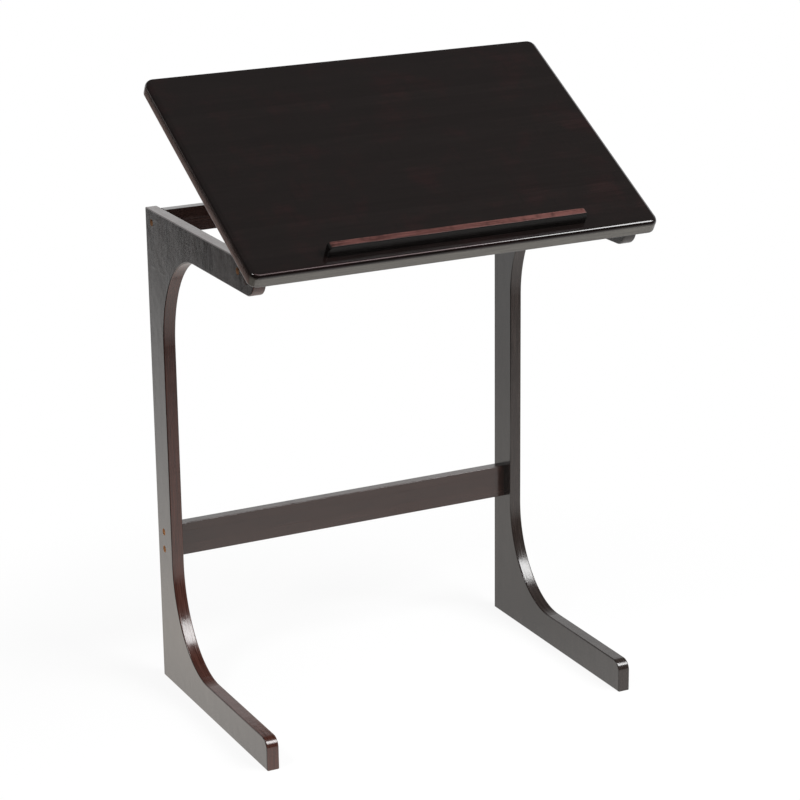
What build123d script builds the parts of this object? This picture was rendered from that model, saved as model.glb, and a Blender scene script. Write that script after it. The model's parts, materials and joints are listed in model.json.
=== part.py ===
from build123d import *
from math import atan2, cos, degrees, hypot, radians, sin
import os

os.makedirs("parts", exist_ok=True)

# A C-shaped side table with a tilting top, stood on the floor in its photographed pose.
# X runs across the table, -Y is the open front of the C, Z is up.
# The origin is on the floor, in the middle of the overall width and depth.

# Frame
frame_height = 700.0
frame_depth = 368.0
panel_thickness = 18.0
upright_depth = 50.0
arm_height = 44.0
foot_height = 45.0
curve_run = 118.0
curve_rise = 144.0
toe_radius = 15.0
panel_edge_radius = 1.6

# Rails between the two side panels
rail_thickness = 16.0
rail_height = 35.0
rear_rail_inset = 14.0
front_rail_inset = 42.0
stretcher_height = 48.0
stretcher_bottom = 192.0
rail_edge_radius = 1.0

# Screws and dowels of the frame
frame_screw_radius = 3.4
frame_screw_length = 52.0
frame_screw_head_radius = 4.8
frame_screw_head_height = 3.0
frame_screw_recess = 7.0
frame_screw_recess_radius = 5.0
frame_screw_socket_radius = 2.3
frame_screw_socket_depth = 2.0
stretcher_screw_spacing = 26.0
dowel_radius = 4.0
dowel_length = 30.0
dowel_depth_in_panel = 11.0
dowel_drop = 10.5

# Tabletop and book stop
top_width = 600.0
top_side_overhang = 16.0
top_depth = 400.0
top_thickness = 22.0
top_corner_radius = 13.0
top_upper_edge_radius = 8.0
top_lower_edge_radius = 3.0
top_front_reach = 41.0
tilt_angle = 29.0
tilt_lift = 3.0
arm_gap = 0.3
stop_length = 380.0
stop_width = 11.0
stop_height = 18.0
stop_setback = 15.0
stop_corner_radius = 6.0
stop_edge_radius = 1.5

# Wood screws that go up into the tabletop
wood_screw_radius = 1.8
wood_screw_bite = 13.0
wood_screw_head_radius = 3.6
wood_screw_head_height = 2.2
wood_screw_slot_radius = 1.6
wood_screw_slot_depth = 1.0
stop_screw_spacing = 140.0
stop_screw_bite = 12.0
stop_screw_recess = 5.0

# Pivot at the nose of each arm
pivot_bolt_radius = 3.0
pivot_head_radius = 7.0
pivot_head_height = 3.2
pivot_head_gap = 0.4
pivot_head_sink = 0.4
pivot_socket_radius = 2.3
pivot_socket_depth = 1.8
pivot_running_gap = 0.08
washer_radius = 8.0
washer_thickness = 1.2
ear_gap = 0.3
bracket_thickness = 2.5
bracket_leaf_length = 34.0
bracket_leaf_width = 30.0
bracket_leaf_corner = 5.0
bracket_ear_radius = 9.5
bracket_screw_spacing = 20.0
nut_radius = 5.8
nut_height = 6.0
nut_dome_height = 2.0

# Prop that holds the tilt
prop_hinge_drop = 9.0
prop_leg_width = 16.0
prop_leg_thickness = 12.0
prop_leg_edge_radius = 1.0
prop_rod_radius = 4.0
prop_rod_running_gap = 0.06
prop_rod_overhang = 1.5
crossbar_radius = 5.0
crossbar_slot_gap = 0.3
crossbar_overhang = 3.0
crossbar_rear_room = 26.0
hinge_block_thickness = 14.0
hinge_block_length = 44.0
hinge_block_bottom_wall = 5.0
hinge_block_corner = 6.0
block_gap = 1.0

# Notched racks in which the prop's crossbar runs
rack_inset = 98.0
rack_thickness = 15.0
rack_height = 26.0
rack_notch_depth = 3.0
rack_edge_radius = 0.8
rack_leg_gap = 1.0
rack_screw_radius = 2.5
rack_screw_length = 28.0
rack_screw_head_radius = 4.2
rack_screw_head_height = 2.6
rack_screw_recess = 4.0
rack_screw_socket_radius = 1.7
rack_screw_socket_depth = 1.4
notch_tilts = (10.0, 19.5, tilt_angle)

# Places worked out from the sizes above
tilt = radians(tilt_angle)
nose_radius = arm_height / 2
arm_bottom = frame_height - arm_height
pivot_height = frame_height - nose_radius
pivot_setback = frame_depth - nose_radius
board_offset = nose_radius + arm_gap
front_round_y = top_upper_edge_radius - top_front_reach
front_round_z = board_offset + top_thickness - top_upper_edge_radius
front_overhang = front_round_z * sin(tilt) - front_round_y * cos(tilt) + top_upper_edge_radius
overall_depth = pivot_setback + front_overhang
rear_y = overall_depth / 2
front_y = rear_y - frame_depth
pivot_y = rear_y - pivot_setback
upright_front_y = rear_y - upright_depth
curve_y = upright_front_y - curve_run
outer_x = top_width / 2 - top_side_overhang
inner_x = outer_x - panel_thickness
rail_length = 2 * inner_x
rail_z = frame_height - rail_height / 2
rear_rail_y = rear_y - rear_rail_inset - rail_thickness / 2
front_rail_y = front_y + front_rail_inset + rail_thickness / 2
stretcher_z = stretcher_bottom + stretcher_height / 2
dowel_z = rail_z - dowel_drop

rack_front_y = front_rail_y + rail_thickness / 2
rack_rear_y = rear_rail_y - rail_thickness / 2

# The prop is as long as its hinge is far from the pivot, so that its crossbar
# runs level with the pivot at every tilt and the racks can be straight. With the
# top flat, the crossbar lies twice as far behind the pivot as the hinge does.
prop_hinge_reach = (rack_rear_y - crossbar_rear_room - pivot_y) / 2
hinge_offset = board_offset - prop_hinge_drop
prop_length = hypot(prop_hinge_reach, hinge_offset)
hinge_lead = degrees(atan2(hinge_offset, prop_hinge_reach))
prop_angle = 2 * tilt_angle + hinge_lead
crossbar_reach = prop_hinge_reach + prop_length * cos(radians(prop_angle))
crossbar_offset = hinge_offset - prop_length * sin(radians(prop_angle))

rack_inner_x = inner_x - rack_inset
rack_outer_x = rack_inner_x + rack_thickness
leg_inner_x = rack_inner_x - rack_leg_gap - prop_leg_thickness
block_inner_x = leg_inner_x - block_gap - hinge_block_thickness
block_height = prop_hinge_drop + prop_rod_radius + hinge_block_bottom_wall

ear_outer_x = inner_x - washer_thickness - ear_gap
ear_inner_x = ear_outer_x - bracket_thickness
inner_washer_x = ear_inner_x - ear_gap
nut_x = inner_washer_x - washer_thickness

sides = (("left", -1), ("right", 1))


def crossbar_y(angle):
    """Where the crossbar lies when the top stands at this angle."""
    return pivot_y + 2 * prop_length * cos(radians(angle + hinge_lead))


def side_section(x):
    """A plane across the table at x, its own x along +Y and its own y up."""
    return Plane(origin=(x, 0, 0), x_dir=(0, 1, 0), z_dir=(1, 0, 0))


def tilted_section(x):
    """A plane across the table at x, turned with the top about the pivot."""
    return Plane(origin=(x, pivot_y, pivot_height), x_dir=(0, cos(tilt), sin(tilt)), z_dir=(1, 0, 0))


def board_plane(offset):
    """A plane parallel to the tabletop, this far from the pivot."""
    normal = (0, -sin(tilt), cos(tilt))
    return Plane(origin=(0, pivot_y, pivot_height), x_dir=(1, 0, 0), z_dir=normal).offset(offset)


def facing(x, y, z, direction):
    """A plane at a point, looking along a direction."""
    return Plane(origin=(x, y, z), z_dir=direction)


def under_board(x, y, offset):
    """A plane at a place on the tabletop's slope, this far from the pivot, looking down."""
    level = board_plane(offset)
    return Plane(level.from_local_coords((x, y, 0)), z_dir=-level.z_dir)


def bore(seat, radius, depth):
    """Cuts a round hole into the part being made, down from the seat plane."""
    with BuildSketch(seat) as mouth:
        Circle(radius)
    extrude(mouth.sketch, amount=-depth, mode=Mode.SUBTRACT)


def disc(seat, radius, height):
    """Adds a round boss to the part being made, up from the seat plane."""
    with BuildSketch(seat) as outline:
        Circle(radius)
    extrude(outline.sketch, amount=height)


def screw(seat, radius, length, head_radius, head_height, socket_radius, socket_depth):
    """Adds a screw whose head sits on the seat plane, its length counted below that plane."""
    disc(seat, head_radius, head_height)
    disc(seat, radius, -length)
    with BuildSketch(seat.offset(head_height)) as socket:
        RegularPolygon(socket_radius, 6)
    extrude(socket.sketch, amount=-socket_depth, mode=Mode.SUBTRACT)


def soften(part, radius, axis):
    """Rounds the long edges of a bar that runs along an axis."""
    fillet(part.edges().filter_by(axis), radius)


# Screws and dowels of the frame, by the place of their axis
rail_screw_places = [(rear_rail_y, rail_z), (front_rail_y, rail_z)]
stretcher_screw_places = [
    (rear_rail_y, stretcher_z - stretcher_screw_spacing / 2),
    (rear_rail_y, stretcher_z + stretcher_screw_spacing / 2),
]
frame_screw_places = rail_screw_places + stretcher_screw_places
dowel_places = [(rear_rail_y, dowel_z), (front_rail_y, dowel_z)]
frame_screw_seat_x = outer_x - frame_screw_recess
screw_depth_in_rail = frame_screw_length - (frame_screw_seat_x - inner_x)
dowel_depth_in_rail = dowel_length - dowel_depth_in_panel


# Side panels: arm, upright and foot in one C-shaped board
for side, sign in sides:
    panel_start_x = inner_x if sign > 0 else -outer_x
    with BuildPart() as side_panel:
        with BuildSketch(side_section(panel_start_x)):
            with BuildLine():
                Polyline((curve_y, foot_height), (front_y + toe_radius, foot_height))
                CenterArc((front_y + toe_radius, foot_height - toe_radius), toe_radius, 90, 90)
                Polyline(
                    (front_y, foot_height - toe_radius),
                    (front_y, 0),
                    (rear_y, 0),
                    (rear_y, frame_height),
                    (pivot_y, frame_height),
                )
                CenterArc((pivot_y, pivot_height), nose_radius, 90, 180)
                Line((pivot_y, arm_bottom), (curve_y, arm_bottom))
                EllipticalCenterArc(
                    (curve_y, arm_bottom - curve_rise), curve_run, curve_rise, 0, arc_size=90
                )
                Line(
                    (upright_front_y, arm_bottom - curve_rise),
                    (upright_front_y, foot_height + curve_rise),
                )
                EllipticalCenterArc(
                    (curve_y, foot_height + curve_rise), curve_run, curve_rise, -90, arc_size=90
                )
            make_face()
        extrude(amount=panel_thickness)
        rims = side_panel.faces().filter_by(Axis.X)
        fillet(rims.edges(), panel_edge_radius)
        for y, z in frame_screw_places:
            mouth = facing(sign * outer_x, y, z, (sign, 0, 0))
            bore(mouth, frame_screw_recess_radius, frame_screw_recess)
            bore(mouth, frame_screw_radius, panel_thickness)
        for y, z in dowel_places:
            bore(facing(sign * inner_x, y, z, (-sign, 0, 0)), dowel_radius, dowel_depth_in_panel)
        pivot_mouth = facing(sign * outer_x, pivot_y, pivot_height, (sign, 0, 0))
        bore(pivot_mouth, pivot_head_radius + pivot_head_gap, pivot_head_height + pivot_head_sink)
        bore(pivot_mouth, pivot_bolt_radius, panel_thickness)
    side_panel.part.label = f"{side}_side_panel"
    export_step(side_panel.part, f"parts/{side}_side_panel.step")


# Rails: two under the top, which also carry the racks, and the stretcher between the
# uprights. The last value is the way that the heads of the rack screws look, 0 for none.
rails = (
    ("rear_top_rail", rear_rail_y, rail_z, rail_height, rail_screw_places[:1], dowel_places[:1], 1),
    ("front_top_rail", front_rail_y, rail_z, rail_height, rail_screw_places[1:], dowel_places[1:], -1),
    ("lower_stretcher", rear_rail_y, stretcher_z, stretcher_height, stretcher_screw_places, [], 0),
)
for name, centre_y, centre_z, height, screws_here, dowels_here, outward in rails:
    with BuildPart() as rail:
        with BuildSketch(side_section(-inner_x)):
            with Locations((centre_y, centre_z)):
                Rectangle(rail_thickness, height)
        extrude(amount=rail_length)
        soften(rail, rail_edge_radius, Axis.X)
        for _, sign in sides:
            for y, z in screws_here:
                bore(facing(sign * inner_x, y, z, (sign, 0, 0)), frame_screw_radius, screw_depth_in_rail)
            for y, z in dowels_here:
                bore(facing(sign * inner_x, y, z, (sign, 0, 0)), dowel_radius, dowel_depth_in_rail)
            if outward:
                rack_x = sign * (rack_inner_x + rack_thickness / 2)
                mouth_y = centre_y + outward * rail_thickness / 2
                mouth = facing(rack_x, mouth_y, pivot_height, (0, outward, 0))
                bore(mouth, rack_screw_head_radius, rack_screw_recess)
                bore(mouth, rack_screw_radius, rail_thickness)
    rail.part.label = name
    export_step(rail.part, f"parts/{name}.step")


# Frame screws, their heads deep in the panels' counterbores
with BuildPart() as frame_screws:
    for _, sign in sides:
        for y, z in frame_screw_places:
            screw(
                facing(sign * frame_screw_seat_x, y, z, (sign, 0, 0)),
                frame_screw_radius,
                frame_screw_length,
                frame_screw_head_radius,
                frame_screw_head_height,
                frame_screw_socket_radius,
                frame_screw_socket_depth,
            )
frame_screws.part.label = "frame_screws"
export_step(frame_screws.part, "parts/frame_screws.step")


# Dowels that keep the top rails from turning on their single screws
with BuildPart() as rail_dowels:
    for _, sign in sides:
        for y, z in dowel_places:
            end = facing(sign * (inner_x + dowel_depth_in_panel), y, z, (sign, 0, 0))
            disc(end, dowel_radius, -dowel_length)
rail_dowels.part.label = "rail_dowels"
export_step(rail_dowels.part, "parts/rail_dowels.step")


# Racks: straight bars with a level slot and a step for each tilt
slot_radius = crossbar_radius + crossbar_slot_gap
slot_front_y = crossbar_y(tilt_angle + tilt_lift)
slot_rear_y = crossbar_y(0)
rack_screw_bite = rack_screw_length - (rail_thickness - rack_screw_recess)
for side, sign in sides:
    rack_start_x = rack_inner_x if sign > 0 else -rack_outer_x
    rack_x = sign * (rack_inner_x + rack_thickness / 2)
    with BuildPart() as prop_rack:
        with BuildSketch(side_section(rack_start_x)):
            with Locations(((rack_front_y + rack_rear_y) / 2, pivot_height)):
                Rectangle(rack_rear_y - rack_front_y, rack_height)
            with Locations(((slot_front_y + slot_rear_y) / 2, pivot_height)):
                SlotCenterToCenter(slot_rear_y - slot_front_y, 2 * slot_radius, mode=Mode.SUBTRACT)
            for notch_tilt in notch_tilts:
                with Locations((crossbar_y(notch_tilt), pivot_height - rack_notch_depth / 2)):
                    SlotCenterToCenter(rack_notch_depth, 2 * slot_radius, rotation=90, mode=Mode.SUBTRACT)
        extrude(amount=rack_thickness)
        long_edges = prop_rack.edges().filter_by(Axis.Y)
        top_edges = long_edges.group_by(Axis.Z)[-1]
        bottom_edges = long_edges.group_by(Axis.Z)[0]
        fillet(top_edges + bottom_edges, rack_edge_radius)
        for end_y, outward in ((rack_front_y, -1), (rack_rear_y, 1)):
            mouth = facing(rack_x, end_y, pivot_height, (0, outward, 0))
            bore(mouth, rack_screw_radius, rack_screw_bite)
    prop_rack.part.label = f"{side}_prop_rack"
    export_step(prop_rack.part, f"parts/{side}_prop_rack.step")

with BuildPart() as rack_screws:
    for _, sign in sides:
        rack_x = sign * (rack_inner_x + rack_thickness / 2)
        for rail_y, outward in ((front_rail_y, -1), (rear_rail_y, 1)):
            seat_y = rail_y + outward * (rail_thickness / 2 - rack_screw_recess)
            screw(
                facing(rack_x, seat_y, pivot_height, (0, outward, 0)),
                rack_screw_radius,
                rack_screw_length,
                rack_screw_head_radius,
                rack_screw_head_height,
                rack_screw_socket_radius,
                rack_screw_socket_depth,
            )
rack_screws.part.label = "rack_screws"
export_step(rack_screws.part, "parts/rack_screws.step")


# Places on the tabletop, in its own plane: x across, y up the slope from the pivot
board_y = top_depth / 2 - top_front_reach
stop_y = stop_setback + stop_width / 2 - top_front_reach
stop_screw_places = [(x * stop_screw_spacing, stop_y) for x in (-1, 0, 1)]
bracket_leaf_x = ear_outer_x - bracket_leaf_width / 2
bracket_screw_places = []
block_x = block_inner_x + hinge_block_thickness / 2
block_screw_reach = (hinge_block_length + 2 * prop_rod_radius) / 4
block_screw_places = []
for _, sign in sides:
    for end in (-1, 1):
        bracket_screw_places.append((sign * bracket_leaf_x, end * bracket_screw_spacing / 2))
        block_screw_places.append((sign * block_x, prop_hinge_reach + end * block_screw_reach))
up_axis = Axis(board_plane(0).origin, board_plane(0).z_dir)
slope_axis = Axis(board_plane(0).origin, board_plane(0).y_dir)


# Tabletop
with BuildPart() as tabletop:
    with BuildSketch(board_plane(board_offset)):
        with Locations((0, board_y)):
            RectangleRounded(top_width, top_depth, top_corner_radius)
    extrude(amount=top_thickness)
    upper_face = tabletop.faces().sort_by(up_axis)[-1]
    fillet(upper_face.edges(), top_upper_edge_radius)
    lower_face = tabletop.faces().sort_by(up_axis)[0]
    fillet(lower_face.edges(), top_lower_edge_radius)
    for x, y in bracket_screw_places + block_screw_places:
        bore(under_board(x, y, board_offset), wood_screw_radius, wood_screw_bite)
    for x, y in stop_screw_places:
        seat = under_board(x, y, board_offset)
        bore(seat, wood_screw_head_radius, stop_screw_recess)
        bore(seat, wood_screw_radius, top_thickness)
tabletop.part.label = "tabletop"
export_step(tabletop.part, "parts/tabletop.step")


# Book stop: a low bar with rounded ends, screwed from below
with BuildPart() as book_stop:
    with BuildSketch(tilted_section(-stop_length / 2)):
        with Locations((stop_y, board_offset + top_thickness + stop_height / 2)):
            Rectangle(stop_width, stop_height)
    extrude(amount=stop_length)
    upper_face = book_stop.faces().sort_by(up_axis)[-1]
    fillet(upper_face.edges().filter_by(slope_axis), stop_corner_radius)
    rim = book_stop.edges().filter_by(Axis.X).group_by(up_axis)[-1]
    fillet(rim, stop_edge_radius)
    for x, y in stop_screw_places:
        bore(under_board(x, y, board_offset + top_thickness), wood_screw_radius, stop_screw_bite)
book_stop.part.label = "book_stop"
export_step(book_stop.part, "parts/book_stop.step")

with BuildPart() as stop_screws:
    for x, y in stop_screw_places:
        screw(
            under_board(x, y, board_offset + stop_screw_recess),
            wood_screw_radius,
            top_thickness - stop_screw_recess + stop_screw_bite,
            wood_screw_head_radius,
            wood_screw_head_height,
            wood_screw_slot_radius,
            wood_screw_slot_depth,
        )
stop_screws.part.label = "stop_screws"
export_step(stop_screws.part, "parts/stop_screws.step")


# Pivot brackets: a leaf screwed under the tabletop and an ear beside the arm
for side, sign in sides:
    ear_start_x = ear_inner_x if sign > 0 else -ear_outer_x
    with BuildPart() as pivot_bracket:
        with BuildSketch(board_plane(board_offset)):
            with Locations((sign * bracket_leaf_x, 0)):
                RectangleRounded(bracket_leaf_width, bracket_leaf_length, bracket_leaf_corner)
        extrude(amount=-bracket_thickness)
        with BuildSketch(tilted_section(ear_start_x)):
            Circle(bracket_ear_radius)
            with Locations((0, board_offset / 2)):
                Rectangle(2 * bracket_ear_radius, board_offset)
        extrude(amount=bracket_thickness)
        pivot_seat = facing(sign * ear_outer_x, pivot_y, pivot_height, (sign, 0, 0))
        bore(pivot_seat, pivot_bolt_radius + pivot_running_gap, bracket_thickness)
        for x, y in bracket_screw_places:
            if x * sign > 0:
                seat = under_board(x, y, board_offset - bracket_thickness)
                bore(seat, wood_screw_radius, bracket_thickness)
    pivot_bracket.part.label = f"{side}_pivot_bracket"
    export_step(pivot_bracket.part, f"parts/{side}_pivot_bracket.step")

with BuildPart() as bracket_screws:
    for x, y in bracket_screw_places:
        screw(
            under_board(x, y, board_offset - bracket_thickness),
            wood_screw_radius,
            bracket_thickness + wood_screw_bite,
            wood_screw_head_radius,
            wood_screw_head_height,
            wood_screw_slot_radius,
            wood_screw_slot_depth,
        )
bracket_screws.part.label = "bracket_screws"
export_step(bracket_screws.part, "parts/bracket_screws.step")


# Pivot bolts through the arms, with a washer each side of the ear and a lock nut
bolt_seat_x = outer_x - pivot_head_height - pivot_head_sink
bolt_length = bolt_seat_x - nut_x + nut_height
with BuildPart() as pivot_bolts:
    for _, sign in sides:
        screw(
            facing(sign * bolt_seat_x, pivot_y, pivot_height, (sign, 0, 0)),
            pivot_bolt_radius,
            bolt_length,
            pivot_head_radius,
            pivot_head_height,
            pivot_socket_radius,
            pivot_socket_depth,
        )
pivot_bolts.part.label = "pivot_bolts"
export_step(pivot_bolts.part, "parts/pivot_bolts.step")

with BuildPart() as pivot_washers:
    for _, sign in sides:
        for washer_face_x in (inner_x, inner_washer_x):
            with BuildSketch(facing(sign * washer_face_x, pivot_y, pivot_height, (sign, 0, 0))):
                Circle(washer_radius)
                Circle(pivot_bolt_radius, mode=Mode.SUBTRACT)
            extrude(amount=-washer_thickness)
pivot_washers.part.label = "pivot_washers"
export_step(pivot_washers.part, "parts/pivot_washers.step")

with BuildPart() as pivot_nuts:
    for _, sign in sides:
        nut_plane = facing(sign * nut_x, pivot_y, pivot_height, (-sign, 0, 0))
        with BuildSketch(nut_plane):
            RegularPolygon(nut_radius, 6)
        extrude(amount=nut_height)
        disc(nut_plane.offset(nut_height), nut_radius * cos(radians(30)), nut_dome_height)
        bore(nut_plane.offset(nut_height), pivot_bolt_radius, nut_height)
pivot_nuts.part.label = "pivot_nuts"
export_step(pivot_nuts.part, "parts/pivot_nuts.step")


# Hinge blocks under the tabletop that carry the prop's rod
for side, sign in sides:
    block_start_x = block_inner_x if sign > 0 else -(block_inner_x + hinge_block_thickness)
    with BuildPart() as hinge_block:
        with BuildSketch(tilted_section(block_start_x)) as block_outline:
            with Locations((prop_hinge_reach, board_offset - block_height / 2)):
                Rectangle(hinge_block_length, block_height)
            fillet(block_outline.vertices().group_by(Axis.Y)[0], hinge_block_corner)
        extrude(amount=hinge_block_thickness)
        rod_mouth = tilted_section(block_start_x).from_local_coords((prop_hinge_reach, hinge_offset, 0))
        bore(
            Plane(rod_mouth, z_dir=(-1, 0, 0)),
            prop_rod_radius + prop_rod_running_gap,
            hinge_block_thickness,
        )
        for x, y in block_screw_places:
            if x * sign > 0:
                seat = under_board(x, y, board_offset - block_height)
                bore(seat, wood_screw_radius, block_height)
    hinge_block.part.label = f"{side}_hinge_block"
    export_step(hinge_block.part, f"parts/{side}_hinge_block.step")

with BuildPart() as block_screws:
    for x, y in block_screw_places:
        screw(
            under_board(x, y, board_offset - block_height),
            wood_screw_radius,
            block_height + wood_screw_bite,
            wood_screw_head_radius,
            wood_screw_head_height,
            wood_screw_slot_radius,
            wood_screw_slot_depth,
        )
block_screws.part.label = "block_screws"
export_step(block_screws.part, "parts/block_screws.step")


# Prop: two legs on a steel rod, joined below by the crossbar that runs in the racks
for side, sign in sides:
    leg_start_x = leg_inner_x if sign > 0 else -(leg_inner_x + prop_leg_thickness)
    with BuildPart() as prop_leg:
        with BuildSketch(tilted_section(leg_start_x)):
            middle = ((prop_hinge_reach + crossbar_reach) / 2, (hinge_offset + crossbar_offset) / 2)
            with Locations(middle):
                SlotCenterToCenter(prop_length, prop_leg_width, rotation=-prop_angle)
            with Locations((prop_hinge_reach, hinge_offset)):
                Circle(prop_rod_radius, mode=Mode.SUBTRACT)
            with Locations((crossbar_reach, crossbar_offset)):
                Circle(crossbar_radius, mode=Mode.SUBTRACT)
        extrude(amount=prop_leg_thickness)
        outer_rims = prop_leg.edges().filter_by(GeomType.LINE).group_by(SortBy.LENGTH)[-1]
        fillet(outer_rims, prop_leg_edge_radius)
    prop_leg.part.label = f"{side}_prop_leg"
    export_step(prop_leg.part, f"parts/{side}_prop_leg.step")

rod_end_x = leg_inner_x + prop_leg_thickness - prop_rod_overhang
with BuildPart() as prop_rod:
    rod_start = tilted_section(-rod_end_x).from_local_coords((prop_hinge_reach, hinge_offset, 0))
    disc(Plane(rod_start, z_dir=(1, 0, 0)), prop_rod_radius, 2 * rod_end_x)
prop_rod.part.label = "prop_rod"
export_step(prop_rod.part, "parts/prop_rod.step")

crossbar_end_x = rack_outer_x + crossbar_overhang
with BuildPart() as prop_crossbar:
    bar_start = tilted_section(-crossbar_end_x).from_local_coords((crossbar_reach, crossbar_offset, 0))
    disc(Plane(bar_start, z_dir=(1, 0, 0)), crossbar_radius, 2 * crossbar_end_x)
    chamfer(prop_crossbar.edges(), prop_leg_edge_radius)
prop_crossbar.part.label = "prop_crossbar"
export_step(prop_crossbar.part, "parts/prop_crossbar.step")
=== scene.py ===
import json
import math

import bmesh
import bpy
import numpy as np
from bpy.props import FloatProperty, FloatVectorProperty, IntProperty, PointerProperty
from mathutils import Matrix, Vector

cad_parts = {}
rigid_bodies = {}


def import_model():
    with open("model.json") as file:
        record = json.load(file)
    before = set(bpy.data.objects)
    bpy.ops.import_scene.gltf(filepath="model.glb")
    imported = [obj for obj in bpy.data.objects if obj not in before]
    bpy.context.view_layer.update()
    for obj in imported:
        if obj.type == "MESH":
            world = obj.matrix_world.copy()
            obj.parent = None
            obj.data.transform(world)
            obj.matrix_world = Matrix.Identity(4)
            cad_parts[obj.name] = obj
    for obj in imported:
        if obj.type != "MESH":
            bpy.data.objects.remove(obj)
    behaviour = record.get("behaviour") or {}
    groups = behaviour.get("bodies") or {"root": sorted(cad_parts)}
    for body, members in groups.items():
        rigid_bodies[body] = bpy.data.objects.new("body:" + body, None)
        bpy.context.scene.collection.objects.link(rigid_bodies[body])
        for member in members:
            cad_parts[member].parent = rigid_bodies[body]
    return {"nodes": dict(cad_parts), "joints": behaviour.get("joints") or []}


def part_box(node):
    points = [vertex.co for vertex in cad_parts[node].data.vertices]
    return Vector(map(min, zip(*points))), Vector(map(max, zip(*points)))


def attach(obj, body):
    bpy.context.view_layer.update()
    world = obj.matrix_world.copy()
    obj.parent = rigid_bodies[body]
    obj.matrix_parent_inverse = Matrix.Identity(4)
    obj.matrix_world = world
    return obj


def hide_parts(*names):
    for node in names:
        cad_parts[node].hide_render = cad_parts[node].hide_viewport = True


bl_info = {
    "name": "Tilting Side Table",
    "version": (1, 0, 0),
    "blender": (4, 5, 0),
    "location": "3D View > Sidebar > Side Table",
    "description": "Finishes a C-shaped side table with a tilting top and sets up its studio",
    "category": "Object",
}

for leftover in list(bpy.data.objects):
    bpy.data.objects.remove(leftover)
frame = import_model()
bpy.context.view_layer.update()

NODES = frame["nodes"]
JOINTS = {joint["name"]: joint for joint in frame["joints"]}
FLAT_TILT = -math.radians(JOINTS["top_tilt"]["range_deg"][0])

# The tabletop's own directions as it stands in the frame, and the turn that undoes its tilt
BOARD_UP = Vector((0, -math.sin(FLAT_TILT), math.cos(FLAT_TILT)))
LEVEL_BOARD = (-FLAT_TILT, 0, 0)


def colour(name, description, default):
    """A colour property, red green blue."""
    return FloatVectorProperty(
        name=name, description=description, default=default, subtype="COLOR", min=0, max=1
    )


def length(name, description, default):
    """A length property in metres."""
    return FloatProperty(name=name, description=description, default=default, unit="LENGTH", min=0)


def share(name, description, default):
    """A property that is a share, from 0 to 1."""
    return FloatProperty(
        name=name, description=description, default=default, subtype="FACTOR", min=0, max=1
    )


def amount(name, description, default):
    """A plain number property."""
    return FloatProperty(name=name, description=description, default=default, min=0)


class TableWoodSettings(bpy.types.PropertyGroup):
    """Colours and grain of the stained bamboo."""

    face_stain: colour("Face Stain", "Stain on the broad faces", (0.0135, 0.0098, 0.0088))
    left_edge_stain: colour("Left Edge", "Stain on the left panel's edges", (0.047, 0.016, 0.011))
    right_edge_stain: colour("Right Edge", "Stain on the right panel's edges", (0.020, 0.0142, 0.0122))
    rail_stain: colour("Rail Stain", "Stain on the rails", (0.026, 0.0128, 0.0102))
    prop_stain: colour("Prop Stain", "Stain on the prop and its racks", (0.040, 0.020, 0.015))
    top_stain: colour("Top Stain", "Stain on the tabletop", (0.0052, 0.0034, 0.0031))
    top_blush: colour("Top Blush", "Red of the faint patches in the tabletop", (0.011, 0.0038, 0.0038))
    # The next colour is partly the stain of the front and back edges and partly a painted reflection of
    # the pale floor
    top_edge_stain_and_reflection: colour("Top Edge", "Stain on the tabletop's front and back", (0.076, 0.070, 0.061))
    # The next colour is a painted dim highlight line along the front arris, whose varnish is also
    # rubbed rougher there
    rubbed_arris_highlight: colour("Worn Arris", "Stain on the tabletop's worn front edge", (0.052, 0.024, 0.026))
    top_side_stain: colour("Top Side", "Stain on the tabletop's sides", (0.125, 0.088, 0.078))
    stop_stain: colour("Stop Stain", "Thin stain on the book stop", (0.062, 0.026, 0.023))
    stop_face_stain: colour("Stop Face", "Stain on the book stop's sides", (0.0035, 0.0028, 0.0026))
    bare_bamboo: colour("Bare Bamboo", "Bare bamboo in the screw holes", (0.42, 0.19, 0.07))
    dowel_wood: colour("Dowel Wood", "Bare turned dowel", (0.45, 0.28, 0.13))
    strip_width: length("Strip Width", "Width of one bamboo strip", 0.019)
    strip_thickness: length("Strip Thickness", "Thickness of one bamboo ply", 0.006)
    knuckle_spacing: length("Knuckle Spacing", "Distance between the knuckles of a strip", 0.24)
    knuckle_width: length("Knuckle Width", "Width of the band at a knuckle", 0.0028)
    fibre_width: length("Fibre Width", "Width of one fibre bundle", 0.0011)
    fibre_stretch: amount("Fibre Stretch", "How many times longer than wide a fibre is", 60)
    grain_relief: length("Grain Relief", "Depth of the grain under the varnish", 0.00008)
    wave_size: length("Wave Size", "Size of the soft waves in the varnish", 0.03)
    wave_relief: length("Wave Relief", "Depth of the soft waves in the varnish", 0.0003)
    top_relief: share("Top Relief", "Share of that relief that shows in the tabletop", 0.4)
    gloss: share("Varnish Roughness", "Roughness of the varnish where it is smoothest", 0.08)
    gloss_spread: share("Roughness Spread", "How much rougher the varnish gets with the grain", 0.13)
    varnish_index: amount("Varnish Index", "Refractive index of the varnish", 1.6)
    stop_index: amount("Stop Varnish Index", "Refractive index of the book stop's finish", 1.25)
    top_rounding: length("Top Rounding", "Radius of the tabletop's upper edge", 0.008)
    arris_least: length("Sharpest Arris", "Softness of the tabletop's crisp edge, at its left", 0.00005)
    arris_width: length("Arris Growth", "How much softer that edge gets to the right", 0.0011)
    corner_arris: length("Corner Arris", "How much softer it is round the left corners", 0.0008)
    side_arris: length("Side Arris", "How much softer it is along the tabletop's sides", 0.004)


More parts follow.
